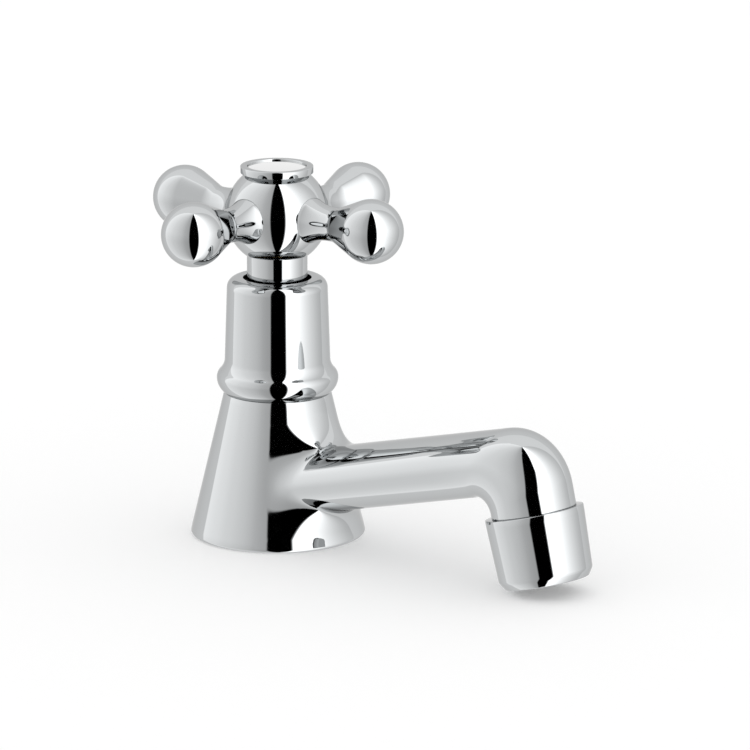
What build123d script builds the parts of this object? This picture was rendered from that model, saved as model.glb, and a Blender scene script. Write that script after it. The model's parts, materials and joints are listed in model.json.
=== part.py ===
"""Basin pillar tap with a four-armed cross handle, in millimetres.

The deck's top face is z = 0, the body's axis is Z and the spout points along -Y. Closed at rest.
"""

import os
from math import cos, pi, radians, sin, sqrt, tan

from build123d import *

# Body cone and spout
BASE_R = 25.0
BASE_ROUND = 1.0
BODY_TOP_R = 15.3
SEAM_Z = 41.7  # the shroud stands on the cone here
UPSTAND_R = 12.9
UPSTAND_TOP_Z = 46.5
PIPE_R = 9.2
PIPE_WALL = 3.2
SPOUT_RISE = 14.0  # degrees; the outlet leans outwards by the same angle
SPOUT_Z = 14.6  # the pipe's axis crosses the body's axis here
ELBOW_T = 91.5  # from the body's axis to the elbow's corner
ELBOW_R = 14.0
LEG_LENGTH = 14.5  # from the corner to the aerator housing
LEG_R = PIPE_R + 2.2
ROOT_FILLET = 7.0

# Waterway
INLET_R = 5.5
SEAT_Z = 22.0
SEAT_R = 8.5
CHAMBER_Z = 11.0
CHAMBER_R = 15.5
CHAMBER_TOP_R = 12.6
CHAMBER_H = 22.5
SOCKET_Z = 9.0

# Threads and fits
INLET_THREAD_R = 10.48
HEADWORK_THREAD_R = 10.48
NOZZLE_THREAD_R = 11.0
THREAD_FIT = 0.05
RUN_FIT = 0.05

# Underside and deck
GASKET_R = 22.0
GASKET_T = 2.5
DECK_T = 15.0
TAIL_END_Z = -48.0
TAIL_BORE_R = 6.5
TAIL_SEAL_T = 1.5
WASHER_R = 19.0
RUBBER_T = 2.5
STEEL_T = 1.5
NUT_AF = 30.0
NUT_H = 8.0
NUT_FLANGE_R = 17.5
NUT_FLANGE_H = 2.0

# Shroud
BEAD_R = 17.4
BEAD_Z = SEAM_Z + 4.1
FLARE_TOP_Z = SEAM_Z + 9.8
CREST = 0.38  # the share of the bead's sweep that bulges, before it turns hollow
COLUMN_FOOT_R = 15.1
COLUMN_TOP_R = 14.4
SHROUD_TOP_Z = 75.0
SHOULDER_R = 3.0
SHROUD_WALL = 1.4
SHROUD_HOLE_R = 9.75

# Headwork
CAGE_R = 8.7
CAGE_BORE_R = 7.5
CAGE_GAP = 0.3
WINDOW_W = 7.0
DISC_T = 3.0
PORT_IN_R = 2.4
PORT_OUT_R = 4.9
PORT_HALF = 38.0
LUG_W = 2.4
BAR_W = 3.1
BAR_SLOT_D = 1.5
SEAL_T = 2.5
SHAFT_R = 5.0
SHAFT_LOW_R = 4.2
FLANGE_R = 7.2
FLANGE_T = 2.0
BONNET_WASHER_T = 1.0
BONNET_FLANGE_R = 12.4
BONNET_FLANGE_H = 1.2
HEX_AF = 21.0
HEX_H = 6.3
BARREL_R = 8.0
BARREL_H = 5.0
STOP_H = 2.5
STOP_GAP = 4.0
BLOCK_HALF = 60.0
TURN = 90.0
RING_CLEAR = 0.3
CLIP_T = 0.9
SPLINE_R = 4.0
SPLINE_ROOT_R = 3.6
SPLINE_TEETH = 20
O_RING_R = 0.52

# Handle
HANDLE_Z = SHROUD_TOP_Z + 18.3
HUB_R = 14.75
HUB_FLAT_R = 9.36  # the hub's ball is cut flat at this radius, above and below
HUB_CUT = sqrt(HUB_R**2 - HUB_FLAT_R**2)
SKIRT_R = 8.64
SKIRT_BORE_R = 6.9
SKIRT_DROP = 8.5
INSERT_R = 6.0
INSERT_TOP = 2.8  # below the hub's centre
INSERT_H = 11.5
SCREW_R = 2.4
SCREW_HEAD_R = 4.3
SCREW_HEAD_H = 3.2
CAP_BORE_R = 8.0
CAP_DEPTH = 7.7
CAP_SPIGOT_L = 5.0
ARM_SEAT_R = 6.5
ARM_SPIGOT_R = 4.0
ARM_SPIGOT_T = CAP_BORE_R + 1.5
ARM_NECK_R = 4.85
ARM_NECK_T = 20.5
BALL_R = 9.2
BALL_T = 35.3

# Index cap
RING_R = 10.38
RING_H = 2.77
RIM_W = 2.0
DISC_RECESS = 0.45
DISC_H = 1.1
DISC_CROWN = 0.35

# Aerator, measured along the outlet from the end of the leg
HOUSING_R = 13.7
HOUSING_END_R = 13.1
HOUSING_L = 20.0
HOUSING_CHAMFER = 1.6
NOZZLE_L = 8.0
NOZZLE_BORE_R = 9.0
AERATOR_WASHER_T = 1.5
COMB_AF = 2.8
COMB_RIB = 0.6
MESH_HOLE = 1.9
MESH_WIRE = 0.6
LIP_T = 1.5
LIP_R = 9.3

RISE = radians(SPOUT_RISE)
ALONG = (0, -cos(RISE), sin(RISE))  # up the pipe
OUT = (0, -sin(RISE), -cos(RISE))  # out of the outlet
PIPE = Plane(origin=(0, 0, SPOUT_Z), x_dir=(1, 0, 0), z_dir=ALONG)
PIPE_L = ELBOW_T / cos(RISE) - ELBOW_R
CORNER = Vector(0, -ELBOW_T, SPOUT_Z + ELBOW_T * tan(RISE))
ELBOW_START = CORNER - Vector(*ALONG) * ELBOW_R
ELBOW_END = CORNER + Vector(*OUT) * ELBOW_R
OUTLET = Plane(origin=CORNER + Vector(*OUT) * LEG_LENGTH, x_dir=(1, 0, 0), z_dir=OUT)
BORE_R = PIPE_R - PIPE_WALL
BONNET_Z = UPSTAND_TOP_Z + BONNET_WASHER_T
BARREL_TOP_Z = BONNET_Z + BONNET_FLANGE_H + HEX_H + BARREL_H
SHAFT_TOP_Z = BARREL_TOP_Z + RING_CLEAR
DISC_Z = SEAT_Z + SEAL_T
TURN_DISC_Z = DISC_Z + DISC_T + RUN_FIT
BAR_Z = TURN_DISC_Z + DISC_T - BAR_SLOT_D
FLANGE_Z = TURN_DISC_Z + 2 * DISC_T + 3.45
HUB_TOP_Z = HANDLE_Z + HUB_CUT
CAP_BORE_Z = HUB_TOP_Z - CAP_DEPTH
SEAT_T = sqrt(HUB_R**2 - ARM_SEAT_R**2)
INSERT_TOP_Z = HANDLE_Z - INSERT_TOP
INSERT_Z = INSERT_TOP_Z - INSERT_H
SPINDLE_TOP_Z = INSERT_TOP_Z - 2.5


def turn(points, at=Plane.XY, mode=Mode.ADD):
    """Turn a closed outline of (radius, height) points about the plane's own axis."""
    side = Plane(origin=at.origin, x_dir=at.x_dir, z_dir=-at.y_dir)
    with BuildSketch(side) as outline:
        with BuildLine():
            Polyline(*points, close=True)
        make_face()
    revolve(outline.sketch, axis=Axis(at.origin, at.z_dir), mode=mode)


def tube(inner, outer, low, high, at=Plane.XY, mode=Mode.ADD):
    """A plain ring or, with no inner radius, a plain cylinder."""
    turn([(inner, low), (outer, low), (outer, high), (inner, high)], at, mode)


def o_ring(mid_r, height):
    """An O-ring, its section drawn with eight sides to keep the facets few."""
    with BuildSketch(Plane.XZ) as section:
        with Locations((mid_r, height)):
            RegularPolygon(O_RING_R, 8, rotation=22.5)
    revolve(section.sketch, axis=Axis.Z)


def sector(inner, outer, middle, half):
    """A piece of a flat ring, with its angles in degrees from X."""
    with BuildLine() as outline:
        near = CenterArc((0, 0), inner, middle - half, 2 * half)
        far = CenterArc((0, 0), outer, middle - half, 2 * half)
        Line(near @ 0, far @ 0)
        Line(near @ 1, far @ 1)
    make_face(outline.edges())


def spline_outline(mode=Mode.ADD):
    """The toothed outline that the spindle shares with the pieces it drives."""
    step = pi / SPLINE_TEETH
    rim = [(SPLINE_R, SPLINE_ROOT_R)[i % 2] for i in range(2 * SPLINE_TEETH)]
    teeth = [(r * cos(i * step), r * sin(i * step)) for i, r in enumerate(rim)]
    Polygon(*teeth, align=None, mode=mode)


def comb(pitch, radius):
    """The centres of a honeycomb's cells that lie within a radius."""
    rows = range(-int(radius / pitch) - 1, int(radius / pitch) + 2)
    cells = [(pitch * (i + j % 2 / 2), pitch * j * sqrt(3) / 2) for i in rows for j in rows]
    return [(x, y) for x, y in cells if x * x + y * y <= radius**2]


def bend(start_r, end_r, mode=Mode.ADD):
    """A round elbow between the pipe and the leg, wider at its end where the radii differ."""
    with BuildSketch(Plane(origin=ELBOW_START, x_dir=(1, 0, 0), z_dir=ALONG)) as start:
        Circle(start_r)
    with BuildSketch(Plane(origin=ELBOW_END, x_dir=(1, 0, 0), z_dir=OUT)) as end:
        Circle(end_r)
    with BuildLine() as path:
        TangentArc(ELBOW_START, ELBOW_END, tangent=ALONG)
    sweep([start.sketch.face(), end.sketch.face()], path.edge(), multisection=True, mode=mode)


def save(part, name):
    part.label = name
    export_step(part, f"parts/{name}.step")


os.makedirs("parts", exist_ok=True)

# Body with its spout
with BuildPart() as body_spout:
    with BuildSketch(Plane.XZ):
        with BuildLine():
            foot = (BASE_R, BASE_ROUND)
            Line((0, 0), (BASE_R - BASE_ROUND, 0))
            RadiusArc((BASE_R - BASE_ROUND, 0), foot, -BASE_ROUND)
            Polyline(foot, (BODY_TOP_R, SEAM_Z), (0, SEAM_Z), (0, 0))
        make_face()
    revolve(axis=Axis.Z)
    with BuildSketch(PIPE.offset(PIPE_R * 0.8)):
        Circle(PIPE_R)
    extrude(amount=PIPE_L - PIPE_R * 0.8)
    root = body_spout.edges().filter_by(GeomType.CIRCLE, reverse=True)
    root = root.filter_by(GeomType.LINE, reverse=True)
    fillet(root, ROOT_FILLET)
    bend(PIPE_R, LEG_R)
    tube(0, LEG_R, ELBOW_R - LEG_LENGTH, 0, OUTLET)
    tube(0, NOZZLE_THREAD_R - THREAD_FIT, 0, NOZZLE_L, OUTLET)
    tube(0, UPSTAND_R, SEAM_Z, UPSTAND_TOP_Z)
    chamber_top = CHAMBER_Z + CHAMBER_H
    bevel = chamber_top + CHAMBER_TOP_R - HEADWORK_THREAD_R
    turn(
        [
            (SEAT_R, CHAMBER_Z),
            (CHAMBER_R, CHAMBER_Z),
            (CHAMBER_TOP_R, chamber_top),
            (HEADWORK_THREAD_R, bevel),
            (HEADWORK_THREAD_R, UPSTAND_TOP_Z),
            (0, UPSTAND_TOP_Z),
            (0, SEAT_Z),
            (SEAT_R, SEAT_Z),
        ],
        mode=Mode.SUBTRACT,
    )
    tube(0, INLET_R, 0, SEAT_Z, mode=Mode.SUBTRACT)
    tube(0, INLET_THREAD_R, 0, SOCKET_Z, mode=Mode.SUBTRACT)
    tube(0, GASKET_R, 0, GASKET_T, mode=Mode.SUBTRACT)
    bore_start = (SEAT_R + 3.5) / cos(RISE)
    with BuildSketch(PIPE.offset(bore_start)):
        Circle(BORE_R)
    extrude(amount=PIPE_L - bore_start, mode=Mode.SUBTRACT)
    bend(BORE_R, BORE_R, mode=Mode.SUBTRACT)
    tube(0, BORE_R, ELBOW_R - LEG_LENGTH, 0, OUTLET, mode=Mode.SUBTRACT)
    tube(0, NOZZLE_BORE_R, 0, NOZZLE_L, OUTLET, mode=Mode.SUBTRACT)
save(body_spout.part, "body_spout")

# Gasket in the underside
with BuildPart() as base_gasket:
    tube(INLET_THREAD_R + 1, GASKET_R - 0.1, 0, GASKET_T)
save(base_gasket.part, "base_gasket")

# Inlet tail, its seal and what clamps the tap to the deck
with BuildPart() as inlet_tail:
    top = SOCKET_Z - TAIL_SEAL_T
    tube(TAIL_BORE_R, INLET_THREAD_R, TAIL_END_Z, top)
    chamfer(inlet_tail.edges().filter_by(GeomType.CIRCLE).sort_by(Axis.Z)[0:2], 0.6)
save(inlet_tail.part, "inlet_tail")

with BuildPart() as tail_seal:
    tube(TAIL_BORE_R + 0.3, INLET_THREAD_R - 0.1, SOCKET_Z - TAIL_SEAL_T, SOCKET_Z)
save(tail_seal.part, "tail_seal")

with BuildPart() as deck_rubber_washer:
    tube(INLET_THREAD_R + 0.1, WASHER_R, -DECK_T - RUBBER_T, -DECK_T)
save(deck_rubber_washer.part, "deck_rubber_washer")

with BuildPart() as deck_steel_washer:
    steel_top = -DECK_T - RUBBER_T
    tube(INLET_THREAD_R + 0.2, WASHER_R, steel_top - STEEL_T, steel_top)
save(deck_steel_washer.part, "deck_steel_washer")

with BuildPart() as backnut:
    nut_top = -DECK_T - RUBBER_T - STEEL_T
    tube(0, NUT_FLANGE_R, nut_top - NUT_FLANGE_H, nut_top)
    with BuildSketch(Plane.XY.offset(nut_top - NUT_H)):
        RegularPolygon(NUT_AF / 2, 6, major_radius=False)
    extrude(amount=NUT_H - NUT_FLANGE_H)
    tube(0, INLET_THREAD_R + THREAD_FIT, nut_top - NUT_H, nut_top, mode=Mode.SUBTRACT)
save(backnut.part, "backnut")

# Shroud over the headwork
with BuildPart() as shroud:
    flare = FLARE_TOP_Z - BEAD_Z
    swell = BEAD_R - COLUMN_FOOT_R
    shoulder_z = SHROUD_TOP_Z - SHOULDER_R
    skirt_r = UPSTAND_R + THREAD_FIT
    column_bore_r = COLUMN_TOP_R - SHROUD_WALL
    with BuildSketch(Plane.XZ):
        with BuildLine():
            Line((skirt_r, SEAM_Z), (BODY_TOP_R, SEAM_Z))
            TangentArc((BEAD_R, BEAD_Z), (BODY_TOP_R, SEAM_Z), tangent=(0, -1))
            middle = (BEAD_R - CREST * swell, BEAD_Z + CREST * flare)
            crest = TangentArc((BEAD_R, BEAD_Z), middle, tangent=(0, 1))
            TangentArc(crest @ 1, (COLUMN_FOOT_R, FLARE_TOP_Z), tangent=crest % 1)
            Line((COLUMN_FOOT_R, FLARE_TOP_Z), (COLUMN_TOP_R, shoulder_z))
            RadiusArc(
                (COLUMN_TOP_R, shoulder_z),
                (COLUMN_TOP_R - SHOULDER_R, SHROUD_TOP_Z),
                -SHOULDER_R,
            )
            Polyline(
                (COLUMN_TOP_R - SHOULDER_R, SHROUD_TOP_Z),
                (SHROUD_HOLE_R, SHROUD_TOP_Z),
                (SHROUD_HOLE_R, SHROUD_TOP_Z - SHROUD_WALL),
                (column_bore_r - 1, SHROUD_TOP_Z - SHROUD_WALL),
                (column_bore_r, SHROUD_TOP_Z - SHROUD_WALL - 1),
                (column_bore_r, UPSTAND_TOP_Z + 1),
                (skirt_r, UPSTAND_TOP_Z),
                (skirt_r, SEAM_Z),
            )
        make_face()
    revolve(axis=Axis.Z)
save(shroud.part, "shroud")

# Headwork
with BuildPart() as headwork_bonnet:
    thread_z = bevel + 0.5
    hex_z = BONNET_Z + BONNET_FLANGE_H
    turn(
        [
            (CAGE_BORE_R, SEAT_Z + CAGE_GAP),
            (CAGE_R, SEAT_Z + CAGE_GAP),
            (CAGE_R, thread_z),
            (HEADWORK_THREAD_R - THREAD_FIT, thread_z),
            (HEADWORK_THREAD_R - THREAD_FIT, BONNET_Z),
            (BONNET_FLANGE_R, BONNET_Z),
            (BONNET_FLANGE_R, hex_z),
            (BARREL_R, hex_z),
            (BARREL_R, BARREL_TOP_Z),
            (SHAFT_R + RUN_FIT, BARREL_TOP_Z),
            (SHAFT_R + RUN_FIT, FLANGE_Z + FLANGE_T + RUN_FIT),
            (CAGE_BORE_R, FLANGE_Z + FLANGE_T + RUN_FIT),
        ]
    )
    with BuildSketch(Plane.XY.offset(hex_z)):
        RegularPolygon(HEX_AF / 2, 6, major_radius=False)
        Circle(BARREL_R - 1, mode=Mode.SUBTRACT)
    extrude(amount=HEX_H)
    with BuildSketch(Plane.XY.offset(BARREL_TOP_Z)):
        sector(SHAFT_R + 0.9, BARREL_R, 0, BLOCK_HALF)
    extrude(amount=STOP_H)
    window_h = FLANGE_Z - TURN_DISC_Z - DISC_T - 1.2
    with Locations((0, 0, TURN_DISC_Z + DISC_T + 0.6 + window_h / 2)):
        Box(2 * CAGE_R + 1, WINDOW_W, window_h, mode=Mode.SUBTRACT)
        Box(WINDOW_W, 2 * CAGE_R + 1, window_h, mode=Mode.SUBTRACT)
    slot_h = DISC_Z + DISC_T - SEAT_Z
    with Locations((0, 0, SEAT_Z + slot_h / 2)):
        Box(LUG_W + 0.1, 2 * CAGE_R + 1, slot_h, mode=Mode.SUBTRACT)
save(headwork_bonnet.part, "headwork_bonnet")

with BuildPart() as headwork_washer:
    tube(HEADWORK_THREAD_R, BONNET_FLANGE_R - 0.1, UPSTAND_TOP_Z, BONNET_Z)
save(headwork_washer.part, "headwork_washer")

with BuildPart() as seat_seal:
    tube(PORT_OUT_R + 0.1, CAGE_BORE_R - 0.05, SEAT_Z, DISC_Z)
save(seat_seal.part, "seat_seal")

with BuildPart() as ceramic_disc_fixed:
    tube(0, CAGE_BORE_R - 0.05, DISC_Z, DISC_Z + DISC_T)
    with Locations((0, 0, DISC_Z + DISC_T / 2)):
        Box(LUG_W, 2 * CAGE_R - 0.2, DISC_T)
    with BuildSketch(Plane.XY.offset(DISC_Z)):
        sector(PORT_IN_R, PORT_OUT_R, 0, PORT_HALF)
        sector(PORT_IN_R, PORT_OUT_R, 180, PORT_HALF)
    extrude(amount=DISC_T, mode=Mode.SUBTRACT)
save(ceramic_disc_fixed.part, "ceramic_disc_fixed")

with BuildPart() as ceramic_disc_turning:
    tube(0, FLANGE_R, TURN_DISC_Z, TURN_DISC_Z + DISC_T)
    with BuildSketch(Plane.XY.offset(TURN_DISC_Z)):
        sector(PORT_IN_R, PORT_OUT_R, 90, PORT_HALF)
        sector(PORT_IN_R, PORT_OUT_R, 270, PORT_HALF)
    extrude(amount=DISC_T, mode=Mode.SUBTRACT)
    with Locations((0, 0, BAR_Z + BAR_SLOT_D / 2)):
        Box(2 * FLANGE_R + 1, BAR_W + 0.1, BAR_SLOT_D, mode=Mode.SUBTRACT)
save(ceramic_disc_turning.part, "ceramic_disc_turning")

# Spindle with its seals, stop ring and clip
groove_z = [BONNET_Z + 0.5, BONNET_Z + 6.5]
groove_r = SHAFT_R - 2 * O_RING_R
clip_z = SHAFT_TOP_Z + STOP_H - 0.5
with BuildPart() as spindle:
    bar_top = TURN_DISC_Z + DISC_T + 3
    with Locations((0, 0, (BAR_Z + bar_top) / 2)):
        Box(2 * FLANGE_R - 0.8, BAR_W, bar_top - BAR_Z)
    tube(0, SHAFT_LOW_R, bar_top, FLANGE_Z)
    tube(0, FLANGE_R, FLANGE_Z, FLANGE_Z + FLANGE_T)
    tube(0, SHAFT_R, FLANGE_Z + FLANGE_T, SHAFT_TOP_Z)
    with BuildSketch(Plane.XY.offset(SHAFT_TOP_Z)):
        spline_outline()
    extrude(amount=SPINDLE_TOP_Z - SHAFT_TOP_Z)
    for low in groove_z:
        tube(groove_r, SHAFT_R + 1, low, low + 2.5 * O_RING_R, mode=Mode.SUBTRACT)
    tube(SPLINE_ROOT_R - 0.3, SPLINE_R + 1, clip_z, clip_z + CLIP_T, mode=Mode.SUBTRACT)
    tube(0, SCREW_R, SPINDLE_TOP_Z - 13, SPINDLE_TOP_Z, mode=Mode.SUBTRACT)
save(spindle.part, "spindle")

with BuildPart() as spindle_o_rings:
    for low in groove_z:
        o_ring(groove_r + O_RING_R, low + 1.25 * O_RING_R)
save(spindle_o_rings.part, "spindle_o_rings")

with BuildPart() as stop_ring:
    lug_half = (360 - 2 * BLOCK_HALF - TURN - 2 * STOP_GAP) / 2
    lug_middle = BLOCK_HALF + STOP_GAP + lug_half
    with BuildSketch(Plane.XY.offset(SHAFT_TOP_Z)):
        Circle(SHAFT_R + 0.5)
        sector(SHAFT_R, BARREL_R - 0.3, lug_middle, lug_half)
        spline_outline(Mode.SUBTRACT)
    extrude(amount=clip_z - SHAFT_TOP_Z)
save(stop_ring.part, "stop_ring")

with BuildPart() as spindle_clip:
    with BuildSketch(Plane.XY.offset(clip_z)):
        sector(SPLINE_ROOT_R - 0.3, SHAFT_R + 0.5, 0, 150)
    extrude(amount=CLIP_T)
save(spindle_clip.part, "spindle_clip")

# Handle hub, its spline insert and screw
with BuildPart() as handle_hub:
    hub_low_z = HANDLE_Z - HUB_CUT
    skirt_z = SHROUD_TOP_Z - SKIRT_DROP
    with BuildSketch(Plane.XZ):
        with BuildLine():
            Polyline(
                (SKIRT_BORE_R, skirt_z),
                (SKIRT_R, skirt_z),
                (SKIRT_R, hub_low_z),
                (HUB_FLAT_R, hub_low_z),
            )
            ThreePointArc((HUB_FLAT_R, hub_low_z), (HUB_R, HANDLE_Z), (HUB_FLAT_R, HUB_TOP_Z))
            Polyline(
                (HUB_FLAT_R, HUB_TOP_Z),
                (CAP_BORE_R, HUB_TOP_Z),
                (CAP_BORE_R, CAP_BORE_Z),
                (SCREW_HEAD_R + 0.5, CAP_BORE_Z),
                (SCREW_HEAD_R + 0.5, INSERT_TOP_Z),
                (INSERT_R, INSERT_TOP_Z),
                (INSERT_R, INSERT_Z),
                (SKIRT_BORE_R, INSERT_Z),
                (SKIRT_BORE_R, skirt_z),
            )
        make_face()
    revolve(axis=Axis.Z)
    for angle in (0, 90, 180, 270):
        out = (cos(radians(angle)), sin(radians(angle)), 0)
        arm_axis = Plane(origin=(0, 0, HANDLE_Z), x_dir=(0, 0, 1), z_dir=out)
        tube(0, ARM_SEAT_R + 1, SEAT_T, HUB_R + 1, arm_axis, mode=Mode.SUBTRACT)
        tube(0, ARM_SPIGOT_R, ARM_SPIGOT_T, SEAT_T, arm_axis, mode=Mode.SUBTRACT)
save(handle_hub.part, "handle_hub")

with BuildPart() as spline_insert:
    tube(0, INSERT_R, INSERT_Z, INSERT_TOP_Z)
    with BuildSketch(Plane.XY.offset(INSERT_Z)):
        spline_outline()
    extrude(amount=SPINDLE_TOP_Z + 0.2 - INSERT_Z, mode=Mode.SUBTRACT)
    tube(0, SCREW_R + 0.2, INSERT_Z, INSERT_TOP_Z, mode=Mode.SUBTRACT)
save(spline_insert.part, "spline_insert")

with BuildPart() as handle_screw:
    tube(0, SCREW_R, SPINDLE_TOP_Z - 10, INSERT_TOP_Z)
    tube(0, SCREW_HEAD_R, INSERT_TOP_Z, INSERT_TOP_Z + SCREW_HEAD_H)
    with BuildSketch(Plane.XY.offset(INSERT_TOP_Z + SCREW_HEAD_H)):
        RegularPolygon(2.0, 6, major_radius=False)
    extrude(amount=-2.2, mode=Mode.SUBTRACT)
save(handle_screw.part, "handle_screw")

# The four arms, each a turned piece
for name, angle in (("front", 270), ("right", 0), ("back", 90), ("left", 180)):
    out = (cos(radians(angle)), sin(radians(angle)), 0)
    across = (sin(radians(angle)), -cos(radians(angle)), 0)
    side = Plane(origin=(0, 0, HANDLE_Z), x_dir=(0, 0, 1), z_dir=across)
    ball_in = BALL_R / sqrt(2)
    flare_t = BALL_T - ball_in - (ball_in - ARM_NECK_R) / tan(pi / 8)
    with BuildPart() as arm:
        with BuildSketch(side):
            with BuildLine():
                Polyline(
                    (0, BALL_T + BALL_R),
                    (0, ARM_SPIGOT_T),
                    (ARM_SPIGOT_R, ARM_SPIGOT_T),
                    (ARM_SPIGOT_R, SEAT_T),
                    (ARM_SEAT_R, SEAT_T),
                )
                neck = (ARM_NECK_R, ARM_NECK_T)
                TangentArc(neck, (ARM_SEAT_R, SEAT_T), tangent=(0, -1))
                flare = TangentArc((ball_in, BALL_T - ball_in), (ARM_NECK_R, flare_t), tangent=(-1, -1))
                Line(flare @ 1, neck)
                ThreePointArc(
                    (ball_in, BALL_T - ball_in),
                    (BALL_R, BALL_T),
                    (0, BALL_T + BALL_R),
                )
            make_face()
        revolve(axis=Axis((0, 0, HANDLE_Z), out))
    save(arm.part, f"handle_arm_{name}")

# Index cap
pocket_z = HUB_TOP_Z + RING_H - DISC_RECESS - DISC_H
pocket_r = RING_R - RIM_W
o_ring_z = HUB_TOP_Z - 3
spigot_r = CAP_BORE_R - THREAD_FIT
with BuildPart() as index_ring:
    turn(
        [
            (spigot_r - 2, HUB_TOP_Z - CAP_SPIGOT_L),
            (spigot_r, HUB_TOP_Z - CAP_SPIGOT_L),
            (spigot_r, HUB_TOP_Z),
            (RING_R, HUB_TOP_Z),
            (RING_R, HUB_TOP_Z + RING_H),
            (pocket_r, HUB_TOP_Z + RING_H),
            (pocket_r, pocket_z),
            (spigot_r - 2, pocket_z),
        ]
    )
    chamfer(index_ring.edges().filter_by(GeomType.CIRCLE).sort_by(Axis.Z)[-2:], 0.25)
    tube(CAP_BORE_R - 2 * O_RING_R, CAP_BORE_R, o_ring_z, o_ring_z + 1.3, mode=Mode.SUBTRACT)
save(index_ring.part, "index_ring")

with BuildPart() as index_disc:
    edge = (pocket_r - THREAD_FIT, pocket_z + DISC_H)
    with BuildSketch(Plane.XZ):
        with BuildLine():
            Polyline(edge, (edge[0], pocket_z), (0, pocket_z), (0, edge[1] + DISC_CROWN))
            TangentArc((0, edge[1] + DISC_CROWN), edge, tangent=(1, 0))
        make_face()
    revolve(axis=Axis.Z)
save(index_disc.part, "index_disc")

with BuildPart() as index_o_ring:
    o_ring(CAP_BORE_R - O_RING_R, o_ring_z + 0.65)
save(index_o_ring.part, "index_o_ring")

# Aerator
cup_r = NOZZLE_THREAD_R - 0.9
cup_low = NOZZLE_L + AERATOR_WASHER_T
cup_end = HOUSING_L - LIP_T
with BuildPart() as aerator_housing:
    turn(
        [
            (NOZZLE_THREAD_R, 0),
            (HOUSING_R, 0),
            (HOUSING_R, 2),
            (HOUSING_END_R, HOUSING_L - HOUSING_CHAMFER),
            (HOUSING_END_R - HOUSING_CHAMFER, HOUSING_L),
            (LIP_R, HOUSING_L),
            (LIP_R, cup_end),
            (cup_r + 0.1, cup_end),
            (cup_r + 0.1, cup_low + 1.5),
            (NOZZLE_THREAD_R, cup_low + 1.5),
        ],
        OUTLET,
    )
save(aerator_housing.part, "aerator_housing")

with BuildPart() as aerator_washer:
    tube(NOZZLE_BORE_R, NOZZLE_THREAD_R - 0.1, NOZZLE_L, cup_low, OUTLET)
save(aerator_washer.part, "aerator_washer")

with BuildPart() as aerator_insert:
    turn(
        [
            (0, cup_end - 2),
            (NOZZLE_BORE_R - 0.5, cup_end - 2),
            (NOZZLE_BORE_R - 0.5, cup_low + 1.2),
            (NOZZLE_BORE_R, cup_low + 1.2),
            (NOZZLE_BORE_R, cup_low),
            (NOZZLE_THREAD_R - 0.1, cup_low),
            (NOZZLE_THREAD_R - 0.1, cup_low + 1.5),
            (cup_r, cup_low + 1.5),
            (cup_r, cup_end),
            (0, cup_end),
        ],
        OUTLET,
    )
    with BuildSketch(OUTLET.offset(cup_end - 2)):
        with Locations(*comb(COMB_AF + COMB_RIB, NOZZLE_BORE_R - 1.7)):
            RegularPolygon(COMB_AF / 2, 6, major_radius=False, rotation=30)
    extrude(amount=2, mode=Mode.SUBTRACT)
save(aerator_insert.part, "aerator_insert")

with BuildPart() as aerator_screen:
    tube(0, NOZZLE_BORE_R - 0.05, cup_low + 0.6, cup_low + 1.2, OUTLET)
    with BuildSketch(OUTLET.offset(cup_low + 0.6)):
        with Locations(*comb(MESH_HOLE + MESH_WIRE, NOZZLE_BORE_R - 1.3)):
            Rectangle(MESH_HOLE, MESH_HOLE)
    extrude(amount=0.6, mode=Mode.SUBTRACT)
save(aerator_screen.part, "aerator_screen")
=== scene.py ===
"""Basin pillar tap with a cross handle: its looks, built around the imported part.

In the part's own frame the deck's top face is z = 0, the body's axis is Z and the spout points along -Y.
Sizes are in millimetres until a piece is finished, which scales it to metres. An outline's points are
(radius, height) about the piece's own axis, and a third value rounds that corner.
"""

import json
from math import asin, atan2, cos, degrees, pi, radians, sin, sqrt, tan

import bmesh
import bpy
from mathutils import Matrix, Vector


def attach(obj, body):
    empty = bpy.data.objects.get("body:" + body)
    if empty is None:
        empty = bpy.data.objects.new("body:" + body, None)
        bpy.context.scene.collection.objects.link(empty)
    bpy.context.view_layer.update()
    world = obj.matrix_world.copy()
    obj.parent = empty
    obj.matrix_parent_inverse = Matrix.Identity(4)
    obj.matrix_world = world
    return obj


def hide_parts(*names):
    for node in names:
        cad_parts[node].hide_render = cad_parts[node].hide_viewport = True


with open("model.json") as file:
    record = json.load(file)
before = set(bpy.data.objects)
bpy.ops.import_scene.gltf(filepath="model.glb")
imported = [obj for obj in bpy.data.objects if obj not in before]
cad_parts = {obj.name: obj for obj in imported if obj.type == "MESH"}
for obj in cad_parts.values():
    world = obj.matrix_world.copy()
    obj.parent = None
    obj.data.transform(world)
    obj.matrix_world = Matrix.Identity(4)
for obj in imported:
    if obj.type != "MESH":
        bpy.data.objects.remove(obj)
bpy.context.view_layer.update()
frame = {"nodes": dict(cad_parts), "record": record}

MM = 0.001
WELD, SLIVER = 0.002, 0.0005

# Body casting
BASE_R, BODY_TOP_R, SEAM_Z, BASE_ROUND = 25.0, 15.3, 41.7, 1.0
CONE_LEAN = atan2(BASE_R - BODY_TOP_R, SEAM_Z - BASE_ROUND)
THREAD_R, SPIGOT_R, SPIGOT_TOP_Z = 10.48, 12.9, 46.5
GASKET_R, GASKET_T = 22.0, 2.5
SOCKET_Z, INLET_R, SEAT_R, SEAT_Z = 9.0, 5.5, 8.5, 22.0
CHAMBER_R, CHAMBER_Z, CHAMBER_TOP_R, CHAMBER_TOP_Z, THREAD_Z = 15.5, 11.0, 12.6, 33.5, 35.62

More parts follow.
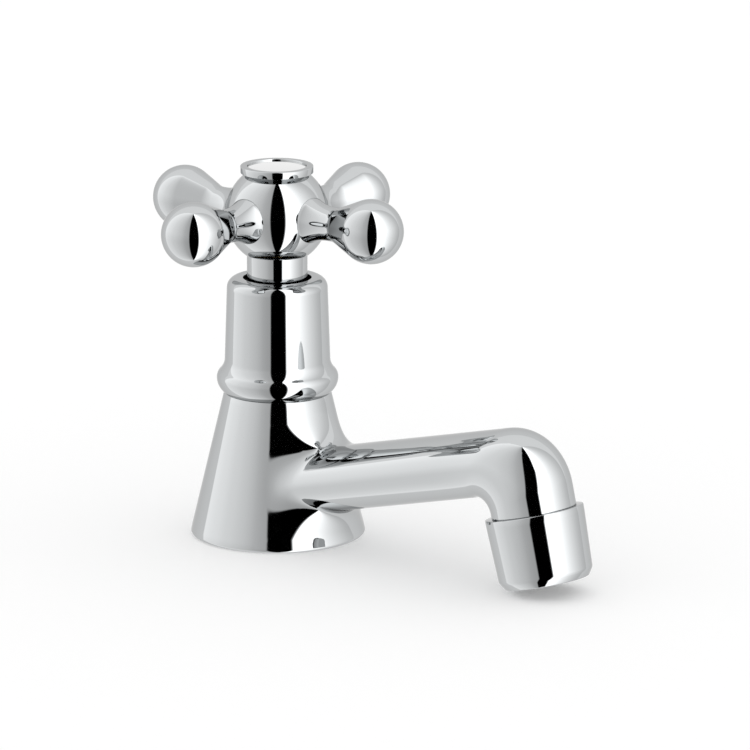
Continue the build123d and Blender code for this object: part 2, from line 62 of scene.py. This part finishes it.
# Spout: its pipe rises to the elbow, and its leg comes down square to the pipe
RISE = radians(14)
ACROSS = Vector((1, 0, 0))
UP_PIPE = Vector((0, -cos(RISE), sin(RISE)))
DOWN_LEG = Vector((0, -sin(RISE), -cos(RISE)))
PIPE_Z, ELBOW_REACH, LEG_LENGTH = 13.9, 91.4, 14.8
PIPE_FOOT = Vector((0, 0, PIPE_Z))
CORNER = Vector((0, -ELBOW_REACH, PIPE_Z + ELBOW_REACH * tan(RISE)))
ELBOW_ALONG = CORNER.y / UP_PIPE.y
OUTLET = CORNER + LEG_LENGTH * DOWN_LEG
PIPE_R, LEG_R = 9.2, 12.0
ROOT_EXTRA, WIDE_LENGTH, WIDE_END = 3.1, 56, 76
ELBOW_OUTSIDE_R, ELBOW_INSIDE_R = 17.0, 5.2
NOZZLE_R, NOZZLE_LENGTH, NOZZLE_BORE_R, WATERWAY_R = 10.95, 8, 9, 6

# The spout's root: its blend leaves the cone along a rounded square, inside a window cut in the skin
ROOT_ANGLE, ROOT_Z, ROOT_UP, ROOT_DOWN, ROOT_SQUARENESS = radians(58.3), 19.3, 18.7, 17.5, 3
CONE_PULL, SPOUT_PULL = 0.28, 0.85
WINDOW_ANGLE, WINDOW_LOW, WINDOW_HIGH = radians(64), 1.2, 38.2

# Handle
HANDLE_Z, HUB_R, BALL_R, BALL_T = 93.3, 14.75, 9.2, 35.3
ARM_R, NECK_R, FLARE = 6.5, 4.85, radians(22.4)
ARM_SEAT_T = sqrt(HUB_R**2 - ARM_R**2)

# The deck stands between these pieces and the tap, and keeps them out of the plate's reflections
UNDER_DECK = ("tail_tube", "deck_backnut", "rubber_washer", "steel_washer")


# Camera, at the photograph's angle
def place_camera():
    data = bpy.data.cameras.new("camera")
    data.lens = 329.56
    data.sensor_width = 36
    camera = bpy.data.objects.new("camera", data)
    bpy.context.scene.collection.objects.link(camera)
    camera.location = (-1.42682, -1.26264, 0.51600)
    look = Vector((0.73642, 0.63274, -0.23945))
    camera.rotation_euler = look.to_track_quat("-Z", "Y").to_euler()
    bpy.context.scene.camera = camera


# Materials
def linear(code):
    """A hex sRGB colour as linear red, green, blue and alpha."""
    parts = [int(code[i : i + 2], 16) / 255 for i in (0, 2, 4)]
    return [v / 12.92 if v <= 0.04045 else ((v + 0.055) / 1.055) ** 2.4 for v in parts] + [1.0]


def add(tree, kind, inputs=None, **settings):
    """Add a node. Inputs are values, or (node, output) pairs to link from."""
    node = tree.nodes.new(kind)
    for key, value in settings.items():
        setattr(node, key, value)
    for key, value in (inputs or {}).items():
        if isinstance(value, tuple) and isinstance(value[0], bpy.types.Node):
            tree.links.new(value[0].outputs[value[1]], node.inputs[key])
        else:
            node.inputs[key].default_value = value
    return node


def new_material(name, **shader):
    """A material with a Principled shader whose sockets are set by name."""
    made = bpy.data.materials.new(name)
    made.use_nodes = True
    made.node_tree.nodes.clear()
    surface = add(made.node_tree, "ShaderNodeBsdfPrincipled", shader)
    add(made.node_tree, "ShaderNodeOutputMaterial", {"Surface": (surface, "BSDF")})
    return made, made.node_tree, surface


def grain(tree, size_mm, detail, stretch=(1, 1, 1)):
    """Noise in the piece's own coordinates, with its grain size in millimetres."""
    place = add(tree, "ShaderNodeTexCoord")
    scaled = add(tree, "ShaderNodeMapping", {"Vector": (place, "Object"), "Scale": stretch})
    return add(
        tree,
        "ShaderNodeTexNoise",
        {"Vector": (scaled, "Vector"), "Scale": 1 / (size_mm * MM), "Detail": detail},
    )


def vary(tree, surface, socket, source, low, high):
    """Let a pattern move one of the shader's values between two limits."""
    spread = add(
        tree,
        "ShaderNodeMapRange",
        {"Value": (source, 0), "From Min": 0.3, "From Max": 0.7, "To Min": low, "To Max": high},
    )
    tree.links.new(spread.outputs[0], surface.inputs[socket])


def emboss(tree, surface, source, height_mm):
    """Raise the surface by a pattern, with its full height in millimetres."""
    bump = add(
        tree,
        "ShaderNodeBump",
        {"Height": (source, 0), "Distance": height_mm * MM, "Strength": 1.0},
    )
    tree.links.new(bump.outputs["Normal"], surface.inputs["Normal"])


def chrome(name, wave_mm, wave_height_mm, code="BFC1C2", rim=0.7):
    """Bright chromium plate over polished brass, a mirror with the polisher's faint waves in it."""
    made, tree, surface = new_material(
        name,
        **{
            "Base Color": linear(code),
            "Metallic": 1.0,
            "Roughness": 0.03,
            "Specular Tint": (rim, rim, rim, 1),
        },
    )
    vary(tree, surface, "Roughness", grain(tree, 2.5, 4), 0.02, 0.05)
    emboss(tree, surface, grain(tree, wave_mm, 1), wave_height_mm)
    return made


def brass(name, code, roughness, ring_mm):
    """Machined brass, warm and bright, with the fine rings that the cutting tool leaves."""
    made, tree, surface = new_material(
        name, **{"Base Color": linear(code), "Metallic": 1.0, "Roughness": roughness}
    )
    rings = grain(tree, ring_mm, 3, stretch=(0.04, 0.04, 1))
    vary(tree, surface, "Roughness", rings, roughness - 0.06, roughness + 0.08)
    emboss(tree, surface, rings, 0.01)
    return made


def steel(name, code, roughness, grain_mm):
    """Zinc-plated or spring steel, a little milky, with a fine crystal grain."""
    made, tree, surface = new_material(
        name, **{"Base Color": linear(code), "Metallic": 1.0, "Roughness": roughness}
    )
    flecks = grain(tree, grain_mm, 4)
    vary(tree, surface, "Roughness", flecks, roughness - 0.08, roughness + 0.1)
    emboss(tree, surface, flecks, 0.008)
    return made


def moulded(name, code, roughness, grain_mm, height_mm, ior):
    """Moulded rubber, plastic or lapped ceramic, with a fine even texture."""
    made, tree, surface = new_material(
        name, **{"Base Color": linear(code), "Roughness": roughness, "IOR": ior}
    )
    texture = grain(tree, grain_mm, 3)
    vary(tree, surface, "Roughness", texture, roughness - 0.06, roughness + 0.08)
    emboss(tree, surface, texture, height_mm)
    return made


MATERIALS = {
    "chrome_casting": chrome("chromed brass casting, hand polished", 9.0, 0.0012),
    "chrome_turned": chrome("chromed turned brass, machine polished", 6.0, 0.0005),
    # The index disc is the same chrome plate with a brighter colour and a full rim tint: a painted
    # highlight for the light that falls on its up-facing face
    "index_face": chrome("chromed pressed disc, bare, brightened as painted highlight", 4.0, 0.0008, "E6E6E6", 1.0),
    "tail_brass": brass("turned brass, thread rolled", "C9A566", 0.28, 0.35),
    "nut_brass": brass("forged brass, machined faces", "C4A062", 0.34, 0.6),
    "headwork_brass": brass("turned brass, fine cut", "CFAF72", 0.24, 0.3),
    "black_rubber": moulded("moulded rubber, matt", "1C1C1D", 0.62, 0.5, 0.02, 1.52),
    "seal_rubber": moulded("moulded nitrile rubber, greased", "161617", 0.32, 0.8, 0.01, 1.52),
    "zinc_steel": steel("stamped steel, zinc plated", "B9BCBE", 0.34, 0.7),
    "spring_steel": steel("spring steel, bright drawn", "A9A9AB", 0.26, 0.4),
    "disc_ceramic": moulded("lapped alumina ceramic", "F1EFE8", 0.16, 0.2, 0.002, 1.76),
    "insert_plastic": moulded("moulded acetal, natural", "E9E8E4", 0.42, 0.6, 0.006, 1.48),
    "aerator_plastic": moulded("moulded acetal, grey", "C4C6C6", 0.4, 0.5, 0.006, 1.48),
}


# Modelling
def arc(centre, turn_by):
    """A run of an outline that turns about a centre, by degrees, anticlockwise where positive."""
    return {"centre": centre, "turn": turn_by}


def draw(bm, start, runs, closed=True):
    """Draw an outline in the XZ plane. A run is an arc, or a point that may have a corner's rounding."""
    tip = bm.verts.new((start[0], 0, start[1]))
    first, corners = tip, []
    if len(start) > 2:
        corners.append((first, start[2]))
    for run in runs:
        if isinstance(run, dict):
            steps = max(4, round(abs(run["turn"]) / 3))
            done = bmesh.ops.spin(
                bm,
                geom=[tip],
                cent=(run["centre"][0], 0, run["centre"][1]),
                axis=(0, -1, 0),
                angle=radians(run["turn"]),
                steps=steps,
            )
            tip = [g for g in done["geom_last"] if isinstance(g, bmesh.types.BMVert)][0]
        else:
            tip = bmesh.ops.extrude_vert_indiv(bm, verts=[tip])["verts"][0]
            tip.co = (run[0], 0, run[1])
            if len(run) > 2:
                corners.append((tip, run[2]))
    if closed:
        bm.edges.new((tip, first))
    for corner, size in corners:
        bmesh.ops.bevel(
            bm, geom=[corner], offset=size, segments=3, profile=0.5, affect="VERTICES", material=-1
        )


def turned(start, runs, steps=192, closed=True, cuts=0):
    """An outline spun about Z and welded. Cuts divide its longest run."""
    bm = bmesh.new()
    draw(bm, start, runs, closed)
    if cuts:
        longest = max(bm.edges, key=lambda e: e.calc_length())
        bmesh.ops.subdivide_edges(bm, edges=[longest], cuts=cuts - 1)
    bmesh.ops.spin(
        bm,
        geom=bm.verts[:] + bm.edges[:],
        cent=(0, 0, 0),
        axis=(0, 0, 1),
        angle=2 * pi,
        steps=steps,
        use_merge=True,
    )
    bmesh.ops.remove_doubles(bm, verts=bm.verts[:], dist=WELD)
    bmesh.ops.dissolve_degenerate(bm, edges=bm.edges[:], dist=SLIVER)
    return bm


def grow(bm, edges, place, *how):
    """Extrude an edge loop into the next one, with each new vertex put where place says."""
    made = bmesh.ops.extrude_edge_only(bm, edges=edges)["geom"]
    fresh = {g for g in made if isinstance(g, bmesh.types.BMVert)}
    for vert in fresh:
        vert.co = place(vert, *how)
    return [g for g in made if isinstance(g, bmesh.types.BMEdge) and set(g.verts) <= fresh]


def aim(bm, axis, origin):
    """Turn a piece modelled along Z to lie along an axis from an origin."""
    way = Vector((0, 0, 1)).rotation_difference(Vector(axis)).to_matrix().to_4x4()
    bmesh.ops.transform(bm, matrix=Matrix.Translation(origin) @ way, verts=bm.verts[:])


def finish(bm, name, body, slot, nodes, crease=32):
    """Scale a piece to metres, shade it and set it on its body in place of its CAD nodes."""
    bmesh.ops.recalc_face_normals(bm, faces=bm.faces[:])
    bmesh.ops.scale(bm, vec=(MM, MM, MM), verts=bm.verts[:])
    bm.normal_update()
    for face in bm.faces:
        face.smooth = True
    for edge in bm.edges:
        edge.smooth = len(edge.link_faces) == 2 and edge.calc_face_angle(0) < radians(crease)
    mesh = bpy.data.meshes.new(name)
    bm.to_mesh(mesh)
    bm.free()
    piece = bpy.data.objects.new(name, mesh)
    bpy.context.scene.collection.objects.link(piece)
    piece.visible_glossy = name not in UNDER_DECK
    mesh.materials.append(MATERIALS[slot])
    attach(piece, body)
    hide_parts(*nodes)


# Body casting with its spout
def cone_r(z):
    return BASE_R - (BASE_R - BODY_TOP_R) * (z - BASE_ROUND) / (SEAM_Z - BASE_ROUND)


def on_cone(azimuth, z):
    """A point on the cone, its azimuth measured from the front."""
    return Vector((cone_r(z) * sin(azimuth), -cone_r(z) * cos(azimuth), z))


def spout_point(turn, along):
    """A point of the spout's skin, an oval widest at its root. A turn of 90 degrees is its underside."""
    half = LEG_R + ROOT_EXTRA * max(0, (WIDE_END - along) / WIDE_LENGTH)
    return PIPE_FOOT + UP_PIPE * along + ACROSS * cos(turn) * half + DOWN_LEG * sin(turn) * PIPE_R


def elbow_radius(turn):
    """The elbow's bend, full over the top and the outside and tight on the underside."""
    middle, spread = (ELBOW_OUTSIDE_R + ELBOW_INSIDE_R) / 2, (ELBOW_OUTSIDE_R - ELBOW_INSIDE_R) / 2
    return middle - spread * sin(turn)


def root_curve(turn, edge):
    """The blend at the spout's root, as the four points of a curve, and how far along the spout it ends."""
    below = sin(turn) > 0
    aside = atan2(edge.x, -edge.y) / ROOT_ANGLE
    above = (edge.z - ROOT_Z) / (ROOT_DOWN if below else ROOT_UP)
    reach = (abs(aside) ** ROOT_SQUARENESS + abs(above) ** ROOT_SQUARENESS) ** (1 / ROOT_SQUARENESS)
    azimuth = ROOT_ANGLE * aside / reach
    start = on_cone(azimuth, ROOT_Z + (edge.z - ROOT_Z) / reach)

    # The sharp corner that the spout would make with the cone, found by halving
    low, high = 5.0, 40.0
    for _ in range(40):
        middle = (low + high) / 2
        corner = spout_point(turn, middle)
        if corner.xy.length < cone_r(corner.z):
            low = middle
        else:
            high = middle
    end_along = middle + 5 + (2 if below else 4) * sin(turn) ** 2
    end = spout_point(turn, end_along)

    # Each end of the curve leaves along the skin that it meets
    slope = Vector((sin(azimuth) * cos(CONE_LEAN), -cos(azimuth) * cos(CONE_LEAN), sin(CONE_LEAN)))
    lean = (corner - start) - slope * (corner - start).dot(slope)
    back = (spout_point(turn, end_along - 0.1) - end).normalized()
    pulls = lean * CONE_PULL, back * (end - corner).length * SPOUT_PULL
    return [start, start + pulls[0], end + pulls[1], end], end_along


def build_body():
    outline = [
        (BASE_R - BASE_ROUND, 0),
        arc((BASE_R - BASE_ROUND, BASE_ROUND), 90),
        (BODY_TOP_R, SEAM_Z, 0.2),
        (SPIGOT_R, SEAM_Z),
        (SPIGOT_R, SPIGOT_TOP_Z, 0.3),
        (THREAD_R, SPIGOT_TOP_Z, 0.3),
        (THREAD_R, THREAD_Z),
        (CHAMBER_TOP_R, CHAMBER_TOP_Z),
        (CHAMBER_R, CHAMBER_Z),
        (SEAT_R, CHAMBER_Z),
        (SEAT_R, SEAT_Z, 0.3),
        (INLET_R, SEAT_Z, 0.2),
        (INLET_R, SOCKET_Z, 0.2),
        (THREAD_R, SOCKET_Z),
        (THREAD_R, GASKET_T, 0.2),
        (GASKET_R, GASKET_T),
    ]
    bm = turned((GASKET_R, 0), outline, steps=256, cuts=25)

    # The window in the cone that the root fills
    def in_window(face):
        spot = face.calc_center_median()
        skin = abs(spot.xy.length - cone_r(spot.z)) < 0.3
        in_front = abs(atan2(spot.x, -spot.y)) < WINDOW_ANGLE
        return skin and in_front and WINDOW_LOW < spot.z < WINDOW_HIGH

    bmesh.ops.delete(bm, geom=[f for f in bm.faces if in_window(f)], context="FACES")
    turn = bm.verts.layers.float.new("turn")
    seat = bm.verts.layers.float_vector.new("seat")
    loop = [e for e in bm.edges if e.is_boundary]
    roots = {}
    for vert in {v for e in loop for v in e.verts}:
        arm = vert.co - PIPE_FOOT
        vert[turn] = atan2(arm.dot(DOWN_LEG), arm.dot(ACROSS))
        vert[seat] = vert.co
        roots[round(vert[turn], 5)] = root_curve(vert[turn], vert.co)

    # Over the cone to where the blend starts, closer spaced at its end
    def over_cone(vert, share):
        edge, rest = Vector(vert[seat]), roots[round(vert[turn], 5)][0][0]
        first, last = [atan2(p.x, -p.y) for p in (edge, rest)]
        return on_cone(first + (last - first) * share, edge.z + (rest.z - edge.z) * share)

    for share in [step / 12 for step in range(1, 12)] + [0.98, 1.0]:
        loop = grow(bm, loop, over_cone, share)

    # Along the blend to the spout
    def through_blend(vert, t):
        a, b, c, d = roots[round(vert[turn], 5)][0]
        return a * (1 - t) ** 3 + b * 3 * t * (1 - t) ** 2 + c * 3 * t**2 * (1 - t) + d * t**3

    blend_steps = 20
    for step in range(1, blend_steps + 1):
        loop = grow(bm, loop, through_blend, step / blend_steps)

    # Along the spout, closer spaced where it joins the blend and the elbow
    def along_spout(vert, share):
        first = roots[round(vert[turn], 5)][1]
        last = ELBOW_ALONG - LEG_R * sin(vert[turn]) - elbow_radius(vert[turn])
        return spout_point(vert[turn], first + (last - first) * share)

    for share in (0.02, 0.1, 0.2, 0.32, 0.44, 0.56, 0.68, 0.8, 0.9, 0.98, 1):
        loop = grow(bm, loop, along_spout, share)

    # Round the elbow
    def round_elbow(vert, bent):
        under, radius = sin(vert[turn]), elbow_radius(vert[turn])
        side = (DOWN_LEG * PIPE_R - UP_PIPE * LEG_R) * under + ACROSS * cos(vert[turn]) * LEG_R
        return CORNER + side + (DOWN_LEG * (1 - cos(bent)) - UP_PIPE * (1 - sin(bent))) * radius

    elbow_steps = 32
    for step in range(1, elbow_steps + 1):
        loop = grow(bm, loop, round_elbow, pi / 2 * step / elbow_steps)

    # Down the leg to the nozzle, over its thread and up its bore
    def down_leg(vert, along, radius):
        way = ACROSS * cos(vert[turn]) - UP_PIPE * sin(vert[turn])
        return OUTLET + DOWN_LEG * along + way * radius

    for along, radius in (
        (-0.15, LEG_R),
        (0, LEG_R - 0.15),
        (0, NOZZLE_R),
        (NOZZLE_LENGTH - 0.2, NOZZLE_R),
        (NOZZLE_LENGTH, NOZZLE_R - 0.2),
        (NOZZLE_LENGTH, NOZZLE_BORE_R),
        (0, NOZZLE_BORE_R),
        (0, WATERWAY_R),
        (-6, WATERWAY_R),
    ):
        loop = grow(bm, loop, down_leg, along, radius)
    bmesh.ops.holes_fill(bm, edges=loop)
    finish(bm, "body_casting", "body", "chrome_casting", ["body_spout"])


# Shroud, with a bead at its foot and a thin wall
def build_shroud():
    foot_r, bead_r, column_r, bore_r, top_z = 15.3, 17.4, 15.1, 13, 75
    bead_z, foot_rise, column_rise = 45.8, 4.1, 5.7

    # The bead swells in one arc, and falls back to the column in two that meet a share of the way up
    crest = 0.38
    half = 2 * atan2(bead_r - column_r, column_rise)
    bulge = column_rise / sin(half) * crest
    hollow = column_rise / sin(half) * (1 - crest)
    foot = ((bead_r - foot_r) ** 2 + foot_rise**2) / (2 * (bead_r - foot_r))
    bm = turned(
        (bore_r - 0.05, SEAM_Z),
        [
            (foot_r, SEAM_Z + 0.02, 0.2),
            arc((bead_r - foot, bead_z), degrees(asin(foot_rise / foot))),
            arc((bead_r - bulge, bead_z), degrees(half)),
            arc((column_r + hollow, bead_z + column_rise), -degrees(half)),
            (14.4, top_z - 3),
            arc((11.4, top_z - 3), 90),
            (9.75, top_z, 0.2),
            (9.75, top_z - 1.4, 0.2),
            (bore_r - 1, top_z - 1.4),
            (bore_r, top_z - 2.4),
            (bore_r, SPIGOT_TOP_Z + 1),
            (bore_r - 0.05, SPIGOT_TOP_Z),
        ],
    )
    finish(bm, "shroud_sleeve", "body", "chrome_turned", ["shroud"])


# Handle hub: a ball cut flat above and below, with a skirt, and a flat seat for each arm
def build_hub():
    below, above = 11.4, 12.1
    skirt_r, skirt_bore_r, skirt_z = 8.64, 6.9, 66.5
    insert_r, insert_z, screw_r, screw_z, cap_r, cap_z = 6, 79, 4.8, 90.5, 8, 97
    bm = turned(
        (skirt_bore_r, skirt_z, 0.2),
        [
            (skirt_r, skirt_z, 0.2),
            (skirt_r, HANDLE_Z - below),
            (sqrt(HUB_R**2 - below**2), HANDLE_Z - below, 0.12),
            arc((0, HANDLE_Z), degrees(asin(below / HUB_R) + asin(above / HUB_R))),
            (cap_r, HANDLE_Z + above, 0.2),
            (cap_r, cap_z),
            (screw_r, cap_z),
            (screw_r, screw_z),
            (insert_r, screw_z),
            (insert_r, insert_z),
            (skirt_bore_r, insert_z),
        ],
    )
    for quarter in range(4):
        way = Matrix.Rotation(quarter * pi / 2, 3, "Z") @ Vector((1, 0, 0))
        cut = bmesh.ops.bisect_plane(
            bm,
            geom=bm.verts[:] + bm.edges[:] + bm.faces[:],
            plane_co=way * ARM_SEAT_T,
            plane_no=way,
            clear_outer=True,
        )["geom_cut"]
        bmesh.ops.holes_fill(bm, edges=[g for g in cut if isinstance(g, bmesh.types.BMEdge)])
    finish(bm, "handle_ball_hub", "handle", "chrome_turned", ["handle_hub"], crease=20)


# Handle arm: spigot, waisted neck, flare and ball, turned in one piece
def build_arm(name, quarter):
    spigot_r, spigot_t, neck_t, flare_round = 4, 9.5, 20.5, 8
    waist = ((ARM_R - NECK_R) ** 2 + (neck_t - ARM_SEAT_T) ** 2) / (2 * (ARM_R - NECK_R))

    # The flare touches the ball, and this is where it has to start for that
    ball_edge_r, ball_edge_t = BALL_R * cos(FLARE), BALL_T - BALL_R * sin(FLARE)
    cone_foot_r = NECK_R + flare_round * (1 - cos(FLARE))
    flare_t = ball_edge_t - (ball_edge_r - cone_foot_r) / tan(FLARE) - flare_round * sin(FLARE)
    bm = turned(
        (0, spigot_t),
        [
            (spigot_r, spigot_t, 0.2),
            (spigot_r, ARM_SEAT_T),
            (ARM_R, ARM_SEAT_T + 0.01, 0.12),
            arc((NECK_R + waist, neck_t), -degrees(asin((neck_t - ARM_SEAT_T) / waist))),
            (NECK_R, flare_t),
            arc((NECK_R + flare_round, flare_t), -degrees(FLARE)),
            (ball_edge_r, ball_edge_t),
            arc((0, BALL_T), 90 + degrees(FLARE)),
        ],
        steps=128,
        closed=False,
    )
    way = Matrix.Rotation(quarter * pi / 2, 3, "Z") @ Vector((0, -1, 0))
    aim(bm, way, (0, 0, HANDLE_Z))
    finish(bm, f"arm_{name}", "handle", "chrome_turned", [f"handle_arm_{name}"])


# Index cap: a ring that stands in the hub, and a slightly domed disc in it
def build_index_cap():
    rim_r, lip_r, neck_r, bore_r = 10.38, 8.38, 7.95, 5.95
    foot_z, seam_z, ledge_z, top_z = 99.7, 105.4, 105.92, 107.47
    ring = turned(
        (bore_r, foot_z),
        [
            (neck_r, foot_z, 0.2),
            (neck_r, seam_z),
            (rim_r, seam_z + 0.02, 0.15),
            (rim_r, top_z, 0.25),
            (lip_r, top_z, 0.25),
            (lip_r, ledge_z),
            (bore_r, ledge_z),
        ],
    )
    finish(ring, "index_rim", "handle", "chrome_turned", ["index_ring"])
    button_r, button_z, dome = 8.33, 107.37, 0.35
    dome_r = (button_r**2 + dome**2) / (2 * dome)
    disc = turned(
        (0, ledge_z),
        [
            (button_r, ledge_z),
            (button_r, button_z - dome, 0.1),
            arc((0, button_z - dome_r), degrees(asin(button_r / dome_r))),
        ],
        closed=False,
    )
    # The disc takes the brightened chrome, whose extra brightness is painted highlight
    finish(disc, "index_button", "handle", "index_face", ["index_disc"])


# Aerator housing, its heights measured down the leg from the nozzle's shoulder
def build_housing():
    rim_r, foot_r, mouth_r, thread_r, seat_r = 13.9, 13.28, 9.3, 11, 10.2
    length, mouth_t, thread_t = 20, 1.5, 11
    bm = turned(
        (thread_r, 0),
        [
            (rim_r, 0, 0.2),
            (rim_r, 2),
            (foot_r, length - 2.2, 0.5),
            (11.9, length, 0.3),
            (mouth_r, length, 0.2),
            (mouth_r, length - mouth_t),
            (seat_r, length - mouth_t),
            (seat_r, thread_t),
            (thread_r, thread_t),
        ],
    )
    aim(bm, DOWN_LEG, OUTLET)
    finish(bm, "aerator_cup", "body", "chrome_turned", ["aerator_housing"])


# Under the deck
def build_tail():
    """The tail's tube, with a G1/2 thread whose ridge is spun up it as a helix."""
    bore_r, core_r, crest_r = 6.5, 9.2, 10.45
    low, high = -48, 7.5
    pitch, turns, steps = 1.814, 29, 40
    bm = turned((bore_r, low), [(core_r, low, 0.5), (core_r, high), (bore_r, high)], steps=128)
    ridge = bmesh.new()
    root_r, foot = core_r - 0.1, low + 0.3
    draw(ridge, (root_r, foot), [(root_r, foot + 1.6), (crest_r, foot + 0.9), (crest_r, foot + 0.7)])
    bmesh.ops.spin(
        ridge,
        geom=ridge.verts[:] + ridge.edges[:],
        cent=(0, 0, 0),
        axis=(0, 0, 1),
        dvec=(0, 0, pitch / steps),
        angle=2 * pi * turns,
        steps=turns * steps,
    )
    bmesh.ops.holes_fill(ridge, edges=[e for e in ridge.edges if e.is_boundary])
    mesh = bpy.data.meshes.new("ridge")
    ridge.to_mesh(mesh)
    ridge.free()
    bm.from_mesh(mesh)
    bpy.data.meshes.remove(mesh)
    finish(bm, "tail_tube", "body", "tail_brass", ["inlet_tail"])


def build_nut():
    """A hexagonal nut with a flange, its rings drawn out and back in from the edge of its bore."""
    bore_r, half_flats, flange_r = 10.55, 15, 17.5
    low, flange_low, high = -27, -21, -19
    bm = bmesh.new()
    bmesh.ops.create_circle(bm, segments=96, radius=bore_r)
    bmesh.ops.translate(bm, vec=(0, 0, low), verts=bm.verts[:])
    loop = bm.edges[:]

    def ring(vert, radius, z, hexagon=False):
        way = vert.co.xy.normalized()
        side = (degrees(atan2(way.y, way.x)) + 30) % 60 - 30
        reach = radius / cos(radians(side)) if hexagon else radius
        return Vector((way.x * reach, way.y * reach, z))

    for how in (
        (half_flats - 0.3, low, True),
        (half_flats, low + 0.3, True),
        (half_flats, flange_low, True),
        (flange_r - 0.2, flange_low),
        (flange_r, flange_low + 0.2),
        (flange_r, high - 0.2),
        (flange_r - 0.2, high),
        (bore_r, high),
        (bore_r, low),
    ):
        loop = grow(bm, loop, ring, *how)
    bmesh.ops.remove_doubles(bm, verts=bm.verts[:], dist=WELD)
    finish(bm, "deck_backnut", "body", "nut_brass", ["backnut"])


def build_washers():
    for name, node, slot, inner, outer, low, high in (
        ("gasket_ring", "base_gasket", "black_rubber", 11.48, 21.9, 0, GASKET_T),
        ("rubber_washer", "deck_rubber_washer", "black_rubber", 10.58, 19, -17.5, -15),
        ("steel_washer", "deck_steel_washer", "zinc_steel", 10.68, 19, -19, -17.5),
    ):
        outline = [(outer, low, 0.25), (outer, high, 0.25), (inner, high, 0.15)]
        finish(turned((inner, low, 0.15), outline, steps=128), name, "body", slot, [node])


# The studio's walls as the plate sees them: a bearing in degrees, from straight out of the picture and
# positive to its right, and how bright the wall is there. A grey wall brightens to the left of a dark
# gap, and a bright diffuser fades to the right of it. A white backdrop closes the ring.
WALLS = (
    (-180, 1.0), (-118, 1.0), (-117, 1.36), (-99, 1.2), (-89, 1.14), (-77, 1.03), (-67, 0.98),
    (-58, 0.91), (-48, 0.84), (-39, 0.75), (-32, 0.66), (-23, 0.59), (-16, 0.56), (-14, 0.0),
    (18, 0.0), (20, 2.2), (30, 2.2), (42, 2.0), (52, 1.8), (62, 1.55), (70, 1.36), (81, 1.15),
    (94, 0.96), (104, 0.84), (117, 0.75), (118, 1.0), (180, 1.0),
)


def light_studio():
    """White all round for the camera and for matt surfaces, and the studio's walls for polished metal."""
    world = bpy.data.worlds.new("studio")
    bpy.context.scene.world = world
    world.use_nodes = True
    tree = world.node_tree
    tree.nodes.clear()
    place = add(tree, "ShaderNodeTexCoord")
    facing = Vector((-0.7270, -0.6437, 0.2394)).normalized()
    ahead = Vector((facing.x, facing.y, 0)).normalized()
    right = Vector((-ahead.y, ahead.x, 0))
    backdrop_from = radians(117)

    def share_of(way):
        return add(
            tree,
            "ShaderNodeVectorMath",
            {0: (place, "Generated"), 1: tuple(way)},
            operation="DOT_PRODUCT",
        )

    # The walls, by their bearing
    sideways, forwards = share_of(right), share_of(ahead)
    bearing = add(
        tree, "ShaderNodeMath", {0: (sideways, "Value"), 1: (forwards, "Value")}, operation="ARCTAN2"
    )
    spread = add(tree, "ShaderNodeMapRange", {"Value": (bearing, 0), "From Min": -pi, "From Max": pi})
    walls = add(tree, "ShaderNodeValToRGB", {"Fac": (spread, 0)})
    ramp = walls.color_ramp
    while len(ramp.elements) < len(WALLS):
        ramp.elements.new(0.5)
    for element, (at, level) in zip(ramp.elements, WALLS):
        element.position = at / 360 + 0.5
        element.color = (level, level, level, 1)

    # They brighten upwards
    height = add(tree, "ShaderNodeSeparateXYZ", {"Vector": (place, "Generated")})
    lift = add(
        tree,
        "ShaderNodeMapRange",
        {
            "Value": (height, "Z"),
            "From Min": -0.25,
            "From Max": 0.15,
            "To Min": 1.03,
            "To Max": 1.17,
        },
    )
    walls = add(
        tree, "ShaderNodeVectorMath", {0: (walls, "Color"), "Scale": (lift, 0)}, operation="SCALE"
    )

    # Behind the object the backdrop stands in place of them
    away = share_of(facing)
    behind = add(
        tree, "ShaderNodeMath", {0: (away, "Value"), 1: cos(backdrop_from)}, operation="LESS_THAN"
    )
    room = add(
        tree,
        "ShaderNodeMix",
        {"Factor": (behind, 0), "A": (walls, "Vector"), "B": (1, 1, 1, 1)},
        data_type="RGBA",
    )
    rays = add(tree, "ShaderNodeLightPath")
    seen = add(
        tree,
        "ShaderNodeMix",
        {"Factor": (rays, "Is Glossy Ray"), "A": (1, 1, 1, 1), "B": (room, "Result")},
        data_type="RGBA",
    )
    shine = add(tree, "ShaderNodeBackground", {"Color": (seen, "Result"), "Strength": 1.0})
    add(tree, "ShaderNodeOutputWorld", {"Surface": (shine, "Background")})


def lay_floor():
    """A pale sheet under the tap, white to the camera away from the tap's own shade."""
    half_width, below_deck, white_lift = 0.9, 0.0001, 0.21
    bm = bmesh.new()
    bmesh.ops.create_grid(bm, x_segments=1, y_segments=1, size=half_width)
    mesh = bpy.data.meshes.new("floor")
    bm.to_mesh(mesh)
    bm.free()
    floor = bpy.data.objects.new("floor", mesh)
    bpy.context.scene.collection.objects.link(floor)
    floor.location.z = -below_deck
    floor.visible_glossy = False
    made, tree, surface = new_material(
        "matt white card",
        **{
            "Base Color": linear("E7E7E7"),
            "Roughness": 0.9,
            "Specular IOR Level": 0.0,
            "Emission Color": (1, 1, 1, 1),
        },
    )
    rays = add(tree, "ShaderNodeLightPath")
    lift = add(
        tree, "ShaderNodeMath", {0: (rays, "Is Camera Ray"), 1: white_lift}, operation="MULTIPLY"
    )
    tree.links.new(lift.outputs[0], surface.inputs["Emission Strength"])
    mesh.materials.append(made)


place_camera()
build_body()
build_shroud()
build_hub()
for quarter, name in enumerate(("front", "right", "back", "left")):
    build_arm(name, quarter)
build_index_cap()
build_housing()
build_tail()
build_nut()
build_washers()
for subpart in frame["record"]["subparts"]:
    node = frame["nodes"][subpart["node"]]
    node.data.materials.clear()
    node.data.materials.append(MATERIALS[subpart["material_slot"]])
light_studio()
lay_floor()
bpy.context.scene.view_settings.view_transform = "Standard"
